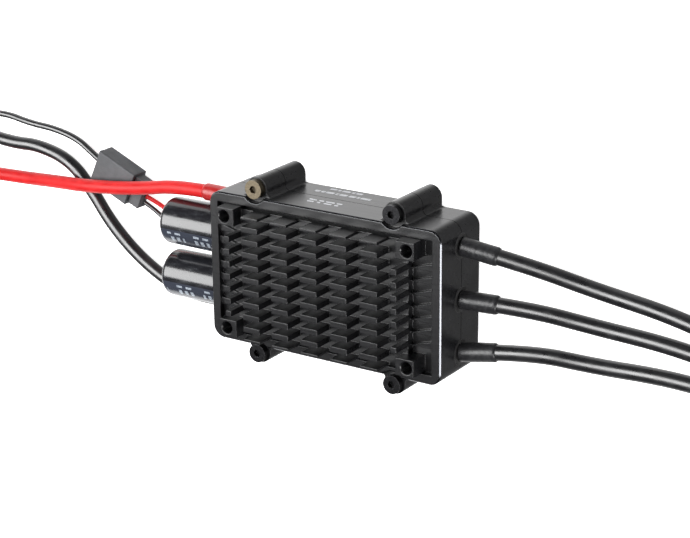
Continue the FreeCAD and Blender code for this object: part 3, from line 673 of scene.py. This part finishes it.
# Rows of dashes: from and to in radians round the can, radians of the wave per mm of length, and
# the level of the wave above which it prints.
FILM_DASHES = ((1.76, 1.86, 2.1, -0.3), (1.98, 2.22, 3.3, -0.1), (2.45, 2.55, 1.7, -0.5))
FILM_DASHES_X = (-51.6, -35.6)


def film():
    """Shrunk capacitor film: glossy black, with a printed band whose bluish grey is partly a painted
    reflection of pale surroundings, and rows of dashes.
    """
    r = Recipe("capacitor_film", (0.012, 0.012, 0.014), 0.2)
    r.set("Specular IOR Level", 0.5)
    r.set("Coat Weight", 0.4)
    r.set("Coat Roughness", 0.12)
    place = r.split(r.place())
    upper, lower = (row / MM for row in CAN_ROWS)
    on_upper = r.math("GREATER_THAN", place[1], (upper + lower) / 2)
    row = r.math("ADD", r.math("MULTIPLY", on_upper, upper - lower), lower)
    height = r.math("SUBTRACT", place[2], CAN_LEVEL / MM)
    turn = r.math("ARCTAN2", height, r.math("SUBTRACT", place[1], row))
    scuff = r.noise(1.4, 5.0, (0.3, 1.0, 1.0))
    tone = r.mix(r.ramp(scuff, (0.45, 0.0), (0.8, 1.0)), (0.010, 0.010, 0.012), (0.026, 0.028, 0.032))
    # Printed band round the lower side of each can. Its bluish grey tone is partly ink and partly
    # painted reflection of the pale surroundings.
    print_band_and_reflection = r.math("MULTIPLY", r.band(turn, 1.66, 3.05), 0.85)
    tone = r.mix(print_band_and_reflection, tone, (0.035, 0.040, 0.055))
    broken = r.ramp(r.noise(5.0, 2.0), (0.38, 0.25), (0.55, 1.0))
    for low, high, per_mm, gate in FILM_DASHES:
        wave = r.math("SINE", r.math("MULTIPLY", place[0], per_mm))
        gaps = r.math("SINE", r.math("ADD", r.math("MULTIPLY", place[0], 0.75), row))
        words = r.math("GREATER_THAN", gaps, -0.4)
        dashes = r.math("MULTIPLY", r.math("GREATER_THAN", wave, gate), words)
        print_area = r.math("MULTIPLY", r.band(turn, low, high), r.band(place[0], *FILM_DASHES_X))
        shown = r.math("MULTIPLY", r.math("MULTIPLY", dashes, print_area), broken)
        tone = r.mix(shown, tone, (0.34, 0.38, 0.43))
    r.feed(tone, "Base Color")
    r.feed(r.ramp(scuff, (0.35, 0.16), (0.75, 0.28)), "Roughness")
    r.relief(r.noise(0.5, 2.0), 0.00005, 0.3)
    return r.material


def laminate():
    """Board laminate: solder mask over a woven glass cloth."""
    r = Recipe("laminate", (0.02, 0.11, 0.05), 0.35)
    weave = r.add("TexWave", wave_type="BANDS", bands_direction="DIAGONAL")
    weave.inputs["Scale"].default_value = 1.6
    weave.inputs["Distortion"].default_value = 0.6
    r.link(r.place(), weave.inputs["Vector"])
    r.feed(r.mix(weave.outputs["Fac"], (0.016, 0.09, 0.04), (0.03, 0.14, 0.07)), "Base Color")
    r.relief(weave.outputs["Fac"], 0.00002, 0.4, edge=0.0001)
    return r.material


def ink(name, colour):
    """Pad-printed ink, thin and a little broken."""
    r = Recipe(name, colour, 0.5)
    speck = r.noise(7.0, 3.0)
    dim = tuple(c * 0.55 for c in colour)
    r.feed(r.mix(r.ramp(speck, (0.35, 1.0), (0.5, 0.0)), colour, dim), "Base Color")
    r.relief(speck, 0.00001, 0.4)
    return r.material


def paint_nodes():
    """One finish for each carried-over node."""
    black_plastic = moulded("connector_plastic", (0.045, 0.046, 0.05))
    chip = moulded("chip_epoxy", (0.02, 0.02, 0.021), 0.5)
    rubber = moulded("bung_rubber", (0.015, 0.015, 0.015), 0.7, 3.0)
    tinned = metal("tinned", (0.66, 0.67, 0.69), 0.35)
    aluminium = metal("plain_aluminium", (0.75, 0.75, 0.76), 0.3)
    black_steel = metal("black_oxide_steel", (0.03, 0.03, 0.032), 0.34, wear=(0.16, 0.16, 0.17))
    plated = metal("plated_steel", (0.16, 0.133, 0.093), 0.42, wear=(0.45, 0.40, 0.32))
    board = laminate()
    case = anodised()
    finishes = {
        "heatsink_shell": case,
        "back_shell": case,
        "case_screws": black_steel,
        "case_screw_plated": plated,
        "insulating_film": moulded("amber_film", (0.6, 0.35, 0.08), 0.3),
        "power_board": board,
        "control_board": board,
        "power_transistors": chip,
        "thermal_pad": moulded("thermal_pad_rubber", (0.35, 0.4, 0.45), 0.8, 2.0),
        "heat_spreader": aluminium,
        "current_shunts": tinned,
        "copper_bus_bars": metal("bus_copper", (0.8, 0.42, 0.27), 0.3),
        "gate_drivers": chip,
        "microcontroller": chip,
        "ceramic_capacitors": moulded("fired_ceramic", (0.45, 0.33, 0.22), 0.4),
        "board_header": black_plastic,
        "board_feet": black_plastic,
        "capacitor_cans": aluminium,
        "capacitor_bungs": rubber,
        "capacitor_leads": tinned,
        "capacitor_crimps": aluminium,
        "motor_wire_bushings": rubber,
        "motor_wire_roots": rubber,
        "power_wire_roots": rubber,
        "positive_bushing": rubber,
        "negative_bushing": rubber,
        "solder_joints": tinned,
        "signal_wire_roots": rubber,
        "signal_seal": rubber,
        "signal_plug": black_plastic,
        "extension_socket": moulded("socket_plastic", (0.045, 0.047, 0.051)),
        "extension_pins": metal("pin_brass", (0.8, 0.62, 0.3), 0.28),
        "extension_plug": black_plastic,
    }
    for name, material in finishes.items():
        paint(NODES[name], material)
    pieces = {
        "motor_shrink": shrink("black_shrink", (0.022, 0.022, 0.024), (0.012, 0.012, 0.013)),
        "positive_shrink": shrink("red_shrink", (0.40, 0.014, 0.015), (0.30, 0.009, 0.009)),
        "motor_strands": tinned,
        "power_strands": tinned,
        "capacitor_film": film(),
        "vent_scores": black_steel,
        "side_marks": ink("grey_ink", (0.42, 0.43, 0.45)),
    }
    for name, material in pieces.items():
        paint(bpy.data.objects[name], material)


def paint(piece, material):
    piece.data.materials.clear()
    piece.data.materials.append(material)


def paint_cords():
    black = silicone("black_silicone", (0.009, 0.009, 0.010), (0.005, 0.005, 0.006), 0.3, 1.0)
    red = silicone("red_silicone", (0.52, 0.016, 0.017), (0.44, 0.010, 0.011), 0.42, 0.2)
    for name, piece in CORDS.items():
        paint(piece, red if name in ("power_wire_positive", "signal_wire_red") else black)


# ---------------------------------------------------------------- stage and light


def make_floor():
    """A wide pale table, just under the controller."""
    bpy.ops.mesh.primitive_plane_add(size=8, location=(0, 0, -0.00005))
    floor = bpy.context.object
    floor.name = "floor"
    floor.visible_glossy = False
    r = Recipe("pale_table", (0.93, 0.93, 0.93), 0.8)
    r.set("Emission Color", (1, 1, 1, 1))
    r.set("Emission Strength", 0.9)
    r.feed(r.ramp(r.noise(0.02, 2.0), (0.3, 0.92), (0.7, 0.95)), "Base Color")
    paint(floor, r.material)


def area_light(name, width, height, power):
    data = bpy.data.lights.new(name, "AREA")
    data.shape = "RECTANGLE"
    data.size = width
    data.size_y = height
    data.energy = power
    lamp = bpy.data.objects.new(name, data)
    bpy.context.collection.objects.link(lamp)
    return lamp


def soft_box(name, place, aim, width, height, power):
    """An area light; its height runs as near to upright as its aim lets it."""
    lamp = area_light(name, width, height, power)
    lamp.location = place
    lamp.rotation_mode = "QUATERNION"
    lamp.rotation_quaternion = (Vector(aim) - Vector(place)).to_track_quat("-Z", "Y")


def long_light(name, start, end, wide, power):
    """A rectangular light whose long side runs from start to end, facing the controller."""
    start, end = Vector(start), Vector(end)
    middle = (start + end) / 2
    lamp = area_light(name, wide, (end - start).length, power)
    back = middle.normalized()
    upward = (end - start).normalized()
    side = upward.cross(back).normalized()
    turn = Matrix((side, back.cross(side), back)).transposed().to_4x4()
    lamp.matrix_world = Matrix.Translation(middle) @ turn


def make_sky():
    """A dim room whose glossy reflections are light low on the -X side and dark on the +X side."""
    world = bpy.data.worlds.new("studio")
    bpy.context.scene.world = world
    world.use_nodes = True
    nodes, links = world.node_tree.nodes, world.node_tree.links
    split = nodes.new("ShaderNodeSeparateXYZ")
    links.new(nodes.new("ShaderNodeTexCoord").outputs["Generated"], split.inputs[0])
    side = nodes.new("ShaderNodeValToRGB")
    shift = nodes.new("ShaderNodeMath")
    shift.operation = "ADD"
    shift.inputs[1].default_value = 1.0
    links.new(split.outputs[0], shift.inputs[0])
    links.new(shift.outputs[0], side.inputs["Fac"])
    for element, (position, grey) in zip(side.color_ramp.elements, ((0.5, 0.9), (0.95, 0.15))):
        element.position = position
        element.color = (grey, grey, grey, 1)
    below = nodes.new("ShaderNodeMath")
    below.operation = "LESS_THAN"
    below.inputs[1].default_value = 0.0
    links.new(split.outputs[2], below.inputs[0])
    mix = nodes.new("ShaderNodeMix")
    mix.data_type = "RGBA"
    links.new(below.outputs[0], mix.inputs[0])
    mix.inputs[6].default_value = (0.03, 0.03, 0.032, 1)
    links.new(side.outputs["Color"], mix.inputs[7])
    background = nodes["Background"]
    links.new(mix.outputs[2], background.inputs["Color"])
    background.inputs["Strength"].default_value = 1.8


def make_light():
    make_sky()
    long_light("key", (-0.36, 0.44, 0.74), (-0.36, -0.13, 0.86), 1.1, 18.5)
    soft_box("right", (0.55, -0.22, 0.36), (0.02, 0, 0.015), 0.26, 0.36, 3.4)


paint_nodes()
paint_cords()
make_floor()
make_light()

bpy.context.view_layer.update()
